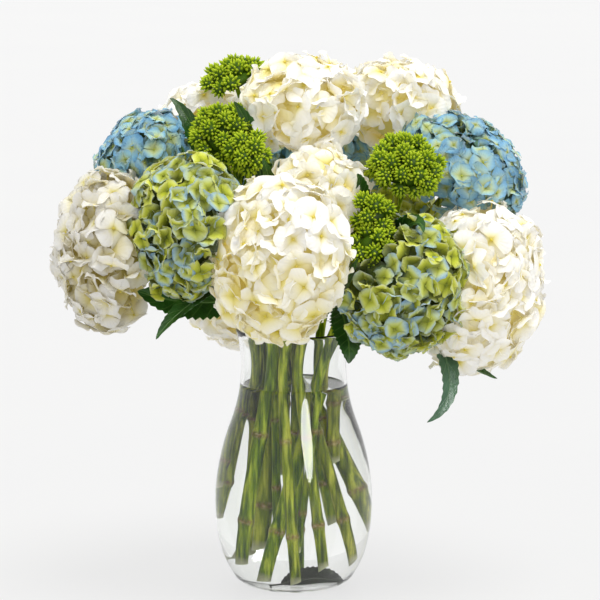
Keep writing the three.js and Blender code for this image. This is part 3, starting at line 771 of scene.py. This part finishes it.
def grow_buds(head):
    rng = random.Random(head.name)
    place = Matrix.Translation(head.centre) @ head_turn(head)
    centre = Vector(head.centre)
    walls = walls_of(head)
    bm, tone = new_sheet("tone")
    across, tall = head.across - LUMP_RADIUS, head.depth - LUMP_RADIUS
    lumps = dart_throw(rng, across, tall, LUMP_SPACING, LUMP_LOWEST, LUMP_TRIES)
    # A dark heart fills the cluster, painted as the shade seen between the buds.
    heart = bmesh.ops.create_icosphere(bm, subdivisions=2, radius=1)
    for vert in heart["verts"]:
        vert.co = place @ on_ellipsoid(vert.co, across * HEART_SHARE, tall * HEART_SHARE)
        vert[tone] = (0, 0.5, 0.5, 1)
    for lump in lumps:
        middle = place @ on_ellipsoid(lump, across, tall)
        if pressed_out(middle, walls, centre, WALL_ROOM):
            continue
        radius = LUMP_RADIUS * rng.uniform(0.85, 1.15)
        # Each lump's core is painted dark as well, as the shade between its buds.
        core = bmesh.ops.create_icosphere(bm, subdivisions=2, radius=radius * LUMP_CORE,
                                          matrix=Matrix.Translation(middle))
        for vert in core["verts"]:
            vert[tone] = (0, 0.5, 0.5, 1)
        out = (place.to_3x3() @ outward(lump, across, tall)).normalized()
        own = rng.random()
        for way in dart_throw(rng, radius, radius, BUD_SPACING, -1, BUD_TRIES):
            if way.dot(out) < BUD_LOWEST:
                continue
            seat = middle + way * (radius - 0.6 * BUD_LONG)
            aim = way + out * BUD_GATHER
            age = clamp(own + rng.uniform(-0.3, 0.3), 0, 1)
            size = Matrix.Scale(rng.uniform(0.8, 1.2), 4)
            add_mesh(bm, BUD, tipped(rng, seat + aim * 0.5, aim, BUD_LEAN) @ size, age)
        root = centre + (place.to_3x3() @ Vector((0, 0, -BASE_DEPTH * head.depth)))
        add_mesh(bm, FLORET_STALK, stretched(root, middle))
    return finish_piece(f"buds_of_{head.name}", bm, f"buds_{head.name}", BUD_GREEN)


for cluster in CLUSTERS:
    piece = grow_buds(cluster)
    print(piece.name, triangles(piece))

# %% [markdown]
# A stem is a line, straight from its cut foot to the neck of the vase and then a smooth bend
# to its bloom. A grid is rolled into a tube round that line, one row of it to a station. The
# tube swells at each knuckle, where a pair of leaves once grew.

# %% Lines of the stems
SPRAY_RADIUS = 3
BRANCH_RADIUS = 2.2
LEAVE_PULL = 70
ARRIVE_PULL = 46
TOP_TAPER = 0.22
KNUCKLES = (0.25, 0.72)
BEND_POINTS = 48
GAP = 0.3
INSIDE_HEAD = 0.3
INSIDE_FORK = 0.1


def bezier(a, b, c, d, steps):
    points = []
    for i in range(steps + 1):
        t = i / steps
        s = 1 - t
        points.append(a * s ** 3 + b * (3 * s * s * t) + c * (3 * s * t * t) + d * t ** 3)
    return points


class Line:
    """A polyline that can be read at any distance along it."""

    def __init__(self, points):
        self.points = points
        self.marks = [0.0]
        for a, b in zip(points, points[1:]):
            self.marks.append(self.marks[-1] + (b - a).length)
        self.length = self.marks[-1]

    def at(self, distance):
        distance = clamp(distance, 0, self.length)
        i = next(i for i in range(1, len(self.marks)) if self.marks[i] >= distance - 1e-9)
        share = (distance - self.marks[i - 1]) / (self.marks[i] - self.marks[i - 1])
        return self.points[i - 1].lerp(self.points[i], share)

    def along(self, distance):
        return (self.at(distance + 0.5) - self.at(distance - 0.5)).normalized()


def head_base(head):
    below = BASE_DEPTH * head.depth + GAP
    return Vector(head.centre) - direction(head.heading, head.lift) * below


def line_of(name):
    """The line of the stem with this name, its straight length, its whole length and radius."""
    plant = next(plant for plant in (*BLOOMS, *SPRAYS) if plant.name == name)
    foot, neck = Vector(plant.foot), Vector((*plant.neck, NECK_HEIGHT))
    if isinstance(plant, Bloom):
        aim = direction(plant.heading, plant.lift)
        top, inside, radius = head_base(plant), INSIDE_HEAD * plant.depth, plant.stem
    else:
        top, inside, radius = Vector(plant.fork), INSIDE_FORK, SPRAY_RADIUS
        aim = (top - neck).normalized()
    rise = (neck - foot).normalized()
    bend = bezier(neck, neck + rise * LEAVE_PULL, top - aim * ARRIVE_PULL, top, BEND_POINTS)
    whole = Line([foot, *bend]).length
    return Line([foot, *bend, top + aim * inside]), (neck - foot).length, whole, radius


print("front bloom's stem", round(line_of("white_front")[2]), "mm")

# %% [markdown]
# The stems are fresh green with fine pale streaks, a brown scar at each knuckle and a pale,
# fibrous cut foot. The paint of a stem holds its scar, its height, its cut and its own number.

# %% Stem material
paint = Paint("stems", Roughness=0.42, Specular_IOR_Level=0.15, Subsurface_Weight=0.12,
              Subsurface_Radius=PLANT_GLOW, Subsurface_Scale=0.003)
scar, _, cut, own = paint.painted("bark")
streak = paint.grain(260, 3, (1, 1, 0.09))
green = paint.ramp(streak, {0.34: "#365802", 0.5: "#7a9a04", 0.64: "#ccda3c"})
olive = paint.ramp(streak, {0.34: "#424e06", 0.5: "#84900c", 0.64: "#cccc4c"})
colour = paint.mix(own, green, olive)
speck = paint.stretch(paint.grain(700, 2), 0.6, 0.7, 0, 0.55)
colour = paint.mix(speck, colour, rgb("#5a5a2a"))
rough_scar = paint.times(scar, paint.stretch(paint.grain(500), 0.25, 0.6))
brown = paint.ramp(paint.grain(350), {0.3: "#66461c", 0.5: "#98743c", 0.7: "#d2bc8c"})
colour = paint.mix(rough_scar, colour, brown)
colour = paint.mix(cut, colour, rgb("#d8dcb4"))
STEM_GREEN = paint.finish(colour, streak, 0.0006, 0.35)

# %% Grow the stems
STEM_SIDES = 14
BRANCH_SIDES = 8
BRANCH_RINGS = 18
SPRAY_OLIVE = 0.4
RING_STEP = 5
CUT_SLANT = 2.2
KNUCKLE_SWELL = 0.19
KNUCKLE_SPAN = 4.2
SCAR_SPAN = 2.6
KNUCKLE_ROOM = 6.5


def knuckle(distance, spots, span):
    return sum(exp(-((distance - spot) / span) ** 2) for spot in spots)


def stations(length, spots):
    """Distances for the rings: evenly apart, and closer at the knuckles."""
    count = max(4, round(length / RING_STEP))
    marks = [length * i / count for i in range(count + 1)]
    for spot in spots:
        marks = [mark for mark in marks if abs(mark - spot) > KNUCKLE_ROOM]
        marks += [spot + step for step in (-5, -3.4, -2, -0.9, 0, 0.9, 2, 3.4, 5)]
    return sorted({0, length, *(mark for mark in marks if 2 * CUT_SLANT + 1 < mark < length)})


def roll_tube(bm, layer, line, marks, sides, radius_at, paint_at, slant=0):
    """Rolls a grid round a line: one row for each mark, joined along its seam and closed."""
    first = set(bm.verts)
    rows = len(marks) - 1
    made = bmesh.ops.create_grid(bm, x_segments=sides, y_segments=rows, size=1)["verts"]
    frames = []
    sideways = Vector((1, 0, 0))
    for mark in marks:
        along = line.along(mark)
        sideways = (sideways - along * sideways.dot(along)).normalized()
        frames.append((line.at(mark), along, sideways, along.cross(sideways)))
    for vert in made:
        angle = pi * (vert.co.x + 1)
        row = round((vert.co.y + 1) / 2 * rows)
        centre, along, side, across = frames[row]
        radius = radius_at(marks[row], angle)
        forward = slant * (1 + cos(angle)) if row == 0 else 0
        vert.co = (centre + side * (radius * cos(angle)) + across * (radius * sin(angle))
                   + along * forward)
        vert[layer] = paint_at(marks[row])
    bmesh.ops.remove_doubles(bm, verts=made, dist=1e-4)
    mine = [vert for vert in bm.verts if vert not in first]
    rims = [edge for vert in mine for edge in vert.link_edges if edge.is_boundary]
    caps = bmesh.ops.holes_fill(bm, edges=list(set(rims)), sides=0)["faces"]
    for cap in caps:
        for edge in cap.edges:
            edge.smooth = False
    faces = list({face for vert in mine for face in vert.link_faces})
    bmesh.ops.recalc_face_normals(bm, faces=faces)


def grow_stem(kind, name, most_own):
    """Grows a stem, and returns it with its layer of paint, its line and its own number."""
    rng = random.Random(f"{kind} {name}")
    own = rng.random() * most_own
    phase = rng.uniform(0, 6)
    bm, layer = new_sheet("bark")
    line, straight, whole, radius = line_of(name)
    spots = [share * straight for share in KNUCKLES]

    def radius_at(mark, angle):
        taper = 1 - TOP_TAPER * clamp((mark - straight) / (whole - straight), 0, 1)
        ribs = 1 + 0.03 * cos(6 * angle + phase) + 0.02 * sin(mark * 0.11 + phase)
        return radius * taper * ribs * (1 + KNUCKLE_SWELL * knuckle(mark, spots, KNUCKLE_SPAN))

    def paint_at(mark):
        scar = min(1, knuckle(mark, spots, SCAR_SPAN) + 0.8 * (1 - smooth(0, 6, mark)))
        return (scar, mark / line.length, 1 - smooth(0, 1.5, mark), own)

    marks = stations(line.length, spots)
    roll_tube(bm, layer, line, marks, STEM_SIDES, radius_at, paint_at, CUT_SLANT)
    return bm, layer, line, own


def grow_branches(spray, bm, layer, line, own):
    """Forks a spray's stem to each of its clusters."""
    fork = Vector(spray.fork)
    aim = line.along(line.length)
    for head in spray.clusters:
        end = head_base(head)
        arrival = direction(head.heading, head.lift)
        pull = 0.4 * (end - fork).length
        start = fork - aim * 3
        bend = bezier(start, start + aim * pull, end - arrival * pull, end, BRANCH_RINGS - 2)
        branch = Line([*bend, end + arrival * 6])
        marks = [branch.length * i / BRANCH_RINGS for i in range(BRANCH_RINGS + 1)]
        roll_tube(bm, layer, branch, marks, BRANCH_SIDES, lambda mark, angle: BRANCH_RADIUS,
                  lambda mark: (0, 1, 0, own))


def finish_stem(kind, name, bm):
    return finish_piece(f"stalk_{name}", bm, f"{kind}_{name}", STEM_GREEN)


for bloom in BLOOMS:
    finish_stem("stem", bloom.name, grow_stem("stem", bloom.name, 1)[0])
for spray in SPRAYS:
    bm, *rest = grow_stem("spray", spray.name, SPRAY_OLIVE)
    grow_branches(spray, bm, *rest)
    piece = finish_stem("spray", spray.name, bm)
    print(piece.name, triangles(piece))

# %% [markdown]
# A leaf is dark green, with a pale midrib and paler side veins between which it swells, and
# teeth along its margin. The blade is a grid that is drawn to the outline, bent along its rib
# and folded like an open book. Paint: along, across, the leaf's own number, and the underside.

# %% Leaf materials
SIDE_VEINS = 8
VEIN_SLANT = 0.16


def leaf_veins(paint, along, side):
    """Bright lines where the midrib and the side veins run."""
    slanted = paint.maths("SUBTRACT", along, paint.times(side, VEIN_SLANT))
    wave = paint.maths("PINGPONG", paint.times(slanted, 2 * SIDE_VEINS), 1)
    lines = paint.stretch(wave, 0.0, 0.16, 0.75, 0)
    fade = paint.stretch(side, 0.75, 1, 1, 0)
    midrib = paint.stretch(side, 0.03, 0.09, 1, 0)
    return paint.maths("MAXIMUM", midrib, paint.times(lines, fade))


def leaf_material(name, dark, light, vein, back):
    paint = Paint(name, Roughness=0.38, Specular_IOR_Level=0.5, Subsurface_Weight=0.08,
                  Subsurface_Radius=PLANT_GLOW, Subsurface_Scale=0.002)
    along, across, own, under = paint.painted("blade")
    side = paint.times(paint.maths("ABSOLUTE", paint.maths("SUBTRACT", across, 0.5)), 2)
    patches = paint.maths("ADD", paint.grain(70, 4), paint.times(own, 0.2))
    colour = paint.ramp(patches, {0.35: dark, 0.75: light})
    veins = leaf_veins(paint, along, side)
    colour = paint.mix(paint.times(veins, 0.55), colour, rgb(vein))
    colour = paint.mix(paint.times(under, 0.8), colour, rgb(back))
    net = paint.maths("SUBTRACT", paint.stretch(paint.grain(420, 2), 0.3, 0.7), veins)
    return paint.finish(colour, net, 0.0004, 0.5)


LEAF_GREEN = {
    "leaf": leaf_material("leaf_green", "#12380c", "#295c16", "#6c9446", "#5c8250"),
    "grey": leaf_material("leaf_grey", "#264730", "#40684a", "#73936f", "#5f7f63"),
    "sunken": leaf_material("leaf_sunken", "#141c12", "#26301e", "#3e4832", "#2c3628"),
}

# %% Grow the leaves
PETIOLE_SHARE = 0.16
PETIOLE_OUT = 12
PETIOLE_RADIUS = 1.7
BEND_STEPS = 6
TEETH = 16
TOOTH_DEPTH = 0.14
FOLD = 0.28
BLADE_THICKNESS = 0.7
BLADE_COLUMNS = 8
BLADE_SWELL = 0.02
BLADE_WAVE = 0.06
PETIOLE_SIDES = 6
PETIOLE_RINGS = 24


def leaf_root(leaf):
    """Where a leaf leaves its stem, and which way."""
    line, straight, whole, radius = line_of(leaf.stem)
    share = leaf.node / BEND_STEPS
    distance = straight + share * (whole - straight)
    on = line.at(distance)
    along = line.along(distance)
    out = Vector(leaf.bend) - on
    out = (out - along * out.dot(along)).normalized()
    return on + out * (radius * (1 - TOP_TAPER * share) * 0.8), out


def leaf_outline(share):
    return sin(pi * share ** 0.8) ** 0.75 if 0 < share < 1 else 0


def grow_leaf(leaf, root, out, piece_name, node):
    rng = random.Random(piece_name)
    rib = Line(bezier(root, root + out * PETIOLE_OUT, Vector(leaf.bend), Vector(leaf.tip), 60))
    hint = direction(*leaf.face)
    own = rng.random()
    wave = rng.uniform(0, 6)
    bm, layer = new_sheet("blade")
    rows = 3 * TEETH
    bmesh.ops.create_grid(bm, x_segments=BLADE_COLUMNS, y_segments=rows, size=1)
    for vert in bm.verts:
        x, row = vert.co.x, round((vert.co.y + 1) / 2 * rows)
        share = row / rows
        distance = rib.length * (PETIOLE_SHARE + (1 - PETIOLE_SHARE) * share)
        along = rib.along(distance)
        up = (hint - along * hint.dot(along)).normalized()
        side = along.cross(up)
        half = max(0.3, 0.5 * leaf.width * leaf_outline(share))
        tooth = TOOTH_DEPTH * (1 - (row % 3) / 2) * abs(x) ** 5
        swell = BLADE_SWELL * leaf.width * cos(2 * pi * SIDE_VEINS * (share - VEIN_SLANT * abs(x)))
        lift = FOLD * half * abs(x) ** 1.2 - swell * abs(x) * (1 - abs(x)) * 2
        lift += BLADE_WAVE * half * sin(7 * share + wave) * x * x
        vert.co = rib.at(distance) + side * (x * half * (1 - tooth)) + up * lift
        vert[layer] = (share, (x + 1) / 2, own, 0)

    def lower(vert, copy):
        copy.co = vert.co - vert.normal * BLADE_THICKNESS
        copy[layer] = (*copy[layer][:3], 1)

    close_lens(bm, lower)

    def petiole_radius(mark, angle):
        return PETIOLE_RADIUS * (1 - 0.85 * smooth(0, 1, mark / rib.length))

    marks = [rib.length * 0.97 * i / PETIOLE_RINGS for i in range(PETIOLE_RINGS + 1)]
    roll_tube(bm, layer, rib, marks, PETIOLE_SIDES, petiole_radius,
              lambda mark: (mark / rib.length, 0.5, own, 0))
    return finish_piece(piece_name, bm, node, LEAF_GREEN[leaf.tint])


for leaf in LEAVES:
    piece = grow_leaf(leaf, *leaf_root(leaf), f"blade_{leaf.name}", f"leaf_{leaf.name}")
print("last leaf", triangles(piece), "triangles")

# %% [markdown]
# One leaf has fallen in and lies arched on the floor of the vase, dark and soaked.

# %% The sunken leaf
SUNKEN = Leaf("sunken", None, 0, (22, -22, 27), (42, -17, 6.2), 23, (0, 42), "sunken")
SUNKEN_BASE = Vector((-20, -26, 6.4))
sunken_out = (Vector(SUNKEN.bend) - SUNKEN_BASE).normalized()
piece = grow_leaf(SUNKEN, SUNKEN_BASE, sunken_out, "fallen_leaf", "sunken_leaf")
print(piece.name, triangles(piece))

# %% [markdown]
# The vase is one profile turned about the upright axis, as blown glass is turned in a mould.
# Its outer line is a smooth curve through a few radii, and its inner line lies one wall in.
# The water fills it and reaches a hair into the glass, so that no film of air is between them:
# air there would shine like silver. At its top it creeps up the glass in a small meniscus.

# %% Vase and water
GLASS_WALL = 3
RIM_HEIGHT = 247
GLASS_OUTLINE = [
    (56, 7), (66, 25), (72.6, 50), (75, 84), (72.3, 112), (66, 140), (57.5, 165),
    (52.8, 183), (50.8, 198), (50, 214), (52.2, 234), (55, RIM_HEIGHT),
]
TURNS = 84
WETTING = 0.15
MENISCUS = 1.3


def smooth_outline(points, steps):
    """A Catmull-Rom curve through the points."""
    line = [Vector(point) for point in (points[0], *points, points[-1])]
    curve = []
    for a, b, c, d in zip(line, line[1:], line[2:], line[3:]):
        for i in range(steps):
            t = i / steps
            curve.append(0.5 * (2 * b + (c - a) * t + (2 * a - 5 * b + 4 * c - d) * t * t
                                + (3 * b - a - 3 * c + d) * t ** 3))
    return [*curve, line[-1]]


def inset(curve, distance):
    """The curve moved inwards, square to itself."""
    moved = []
    for i, point in enumerate(curve):
        slope = (curve[min(i + 1, len(curve) - 1)] - curve[max(i - 1, 0)]).normalized()
        moved.append(point + Vector((-slope.y, slope.x)) * distance)
    return moved


def lathe(profile):
    bm = bmesh.new()
    verts = [bm.verts.new((r, 0, z)) for r, z in profile]
    edges = [bm.edges.new(pair) for pair in zip(verts, verts[1:])]
    bmesh.ops.spin(bm, geom=verts + edges, axis=(0, 0, 1), cent=(0, 0, 0), steps=TURNS,
                   angle=2 * pi, use_merge=True)
    bmesh.ops.remove_doubles(bm, verts=bm.verts, dist=1e-3)
    bmesh.ops.recalc_face_normals(bm, faces=bm.faces)
    return bm


OUTER = smooth_outline(GLASS_OUTLINE, 6)
INNER = inset(OUTER, GLASS_WALL)
FOOT = [(0, 1.6), (30, 1.4), (39, 0.9), (42, 0.1), (44, 0), (46.5, 0.6), (50.5, 2.6)]
WELL = [(0, 5.4), (26, 5.3), (40, 5.6), (47, 7.4)]
WELL_EDGE = 10


def vase_profile():
    rim = Vector(GLASS_OUTLINE[-1])
    lip = [(rim.x - 0.1, rim.y - 1.2), (rim.x - 0.8, rim.y - 0.2), (rim.x - 1.6, rim.y),
           (rim.x - 2.4, rim.y - 0.3), (rim.x - 2.9, rim.y - 1.4)]
    outside = [point for point in OUTER if point.y < RIM_HEIGHT - 2]
    inside = [point for point in INNER if WELL_EDGE < point.y < RIM_HEIGHT - 2.5]
    return [*FOOT, *outside, *lip, *reversed(inside), *reversed(WELL)]


def water_profile():
    wall = inset(OUTER, GLASS_WALL - WETTING)
    inside = [point for point in wall if WELL_EDGE < point.y < WATER_LEVEL - 1]
    low, high = next(pair for pair in zip(wall, wall[1:]) if pair[1].y >= WATER_LEVEL)
    edge = low.lerp(high, (WATER_LEVEL - low.y) / (high.y - low.y)).x
    well = [(r, z - WETTING) for r, z in WELL]
    top = [(edge, WATER_LEVEL + MENISCUS), (edge - 0.9, WATER_LEVEL + 0.5 * MENISCUS),
           (edge - 2.2, WATER_LEVEL + 0.15 * MENISCUS), (edge - 4.5, WATER_LEVEL), (0, WATER_LEVEL)]
    return [*well, *inside, *top]


def clear_material(name, tint, ior, wave_height, mirror):
    paint = Paint(name, Roughness=0.0, IOR=ior, Transmission_Weight=1.0,
                  Specular_Tint=(mirror, mirror, mirror, 1))
    body = paint.ramp(paint.grain(14), {0.2: tint, 0.8: "#ffffff"})
    return paint.finish(body, paint.grain(22, 2), wave_height, 0.3)


GLASS = clear_material("clear_glass", "#fbfdfb", 1.5, 0.0006, 0.6)
WATER = clear_material("vase_water", "#fdfefb", 1.333, 0.0002, 0.15)
vase = finish_piece("glass_vase", lathe(vase_profile()), "vase", GLASS)
water = finish_piece("water_in_vase", lathe(water_profile()), "water", WATER)
print("vase", triangles(vase), "water", triangles(water))

# %% [markdown]
# The floor is a wide pale disc, like the acrylic top of a studio's light table: part of its
# brightness comes from within, which keeps the shadows on it faint. Seen from the camera it
# fills the whole background, so no wall is needed, and the other views stay free.

# %% Floor
FLOOR_RADIUS = 30
FLOOR_GLOW = 0.715
FLOOR_DROP = 0.0004

bm = bmesh.new()
bmesh.ops.create_circle(bm, cap_ends=True, segments=128, radius=FLOOR_RADIUS)
bmesh.ops.translate(bm, vec=(0, 0, -FLOOR_DROP), verts=bm.verts)
paint = Paint("pale_floor", Roughness=0.6, Specular_IOR_Level=0.1, Emission_Strength=FLOOR_GLOW)
colour = paint.ramp(paint.grain(3), {0.3: "#585858", 0.7: "#5a5a59"})
floor = into_scene("floor", to_mesh(bm, "floor"))
floor.data.materials.append(paint.finish(colour))
floor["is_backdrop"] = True
print(floor.name, "radius", FLOOR_RADIUS, "m")

# %% [markdown]
# A wide lamp stands nearly overhead, a little to the front and right, so that the tops of the
# blooms are brightest and every shadow is soft. The even surround fills the rest. One tall soft
# box beside the camera is seen only as the bright strip on the glass, and lights nothing else.

# %% Studio light
SURROUND = 0.83
KEY_STRENGTH = 2.7
KEY_HEADING = 50
KEY_LIFT = 76
KEY_SPREAD = 34
KEY_AIM = Vector((0, 0, 0.3))
KEY_PLACE = KEY_AIM + direction(KEY_HEADING, KEY_LIFT) * 3
STRIP_AIM = Vector((0, 0, 0.15))
STRIP_PLACE = Vector((0.83, -1.87, 1.3))
STRIP_POWER = 60


def add_light(name, kind, energy, place, aim, **settings):
    data = bpy.data.lights.new(name, kind)
    data.energy = energy
    for key, value in settings.items():
        setattr(data, key, value)
    light = into_scene(name, data)
    light.location = place
    light.rotation_euler = (aim - place).to_track_quat("-Z", "Y").to_euler()
    light.visible_camera = False
    return light


world = bpy.data.worlds.new("studio")
world.use_nodes = True
background = world.node_tree.nodes["Background"]
background.inputs["Color"].default_value = (1, 1, 1, 1)
background.inputs["Strength"].default_value = SURROUND
bpy.context.scene.world = world
key = add_light("key_lamp", "SUN", KEY_STRENGTH, KEY_PLACE, KEY_AIM, angle=radians(KEY_SPREAD))
key.visible_glossy = False
strip = add_light("strip_light", "AREA", STRIP_POWER, STRIP_PLACE, STRIP_AIM,
                  shape="ELLIPSE", size=0.74, size_y=2.1)
strip.visible_diffuse = False
print(key.name, strip.name)
bpy.context.scene.view_settings.view_transform = "Standard"

# %% [markdown]
# Last, the visual model's box is set beside the box of the plain solids, to see that nothing
# has outgrown them.

# %% Measure and finish
visual_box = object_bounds()
for corner in (*cad_box, *visual_box):
    print([round(value, 4) for value in corner])
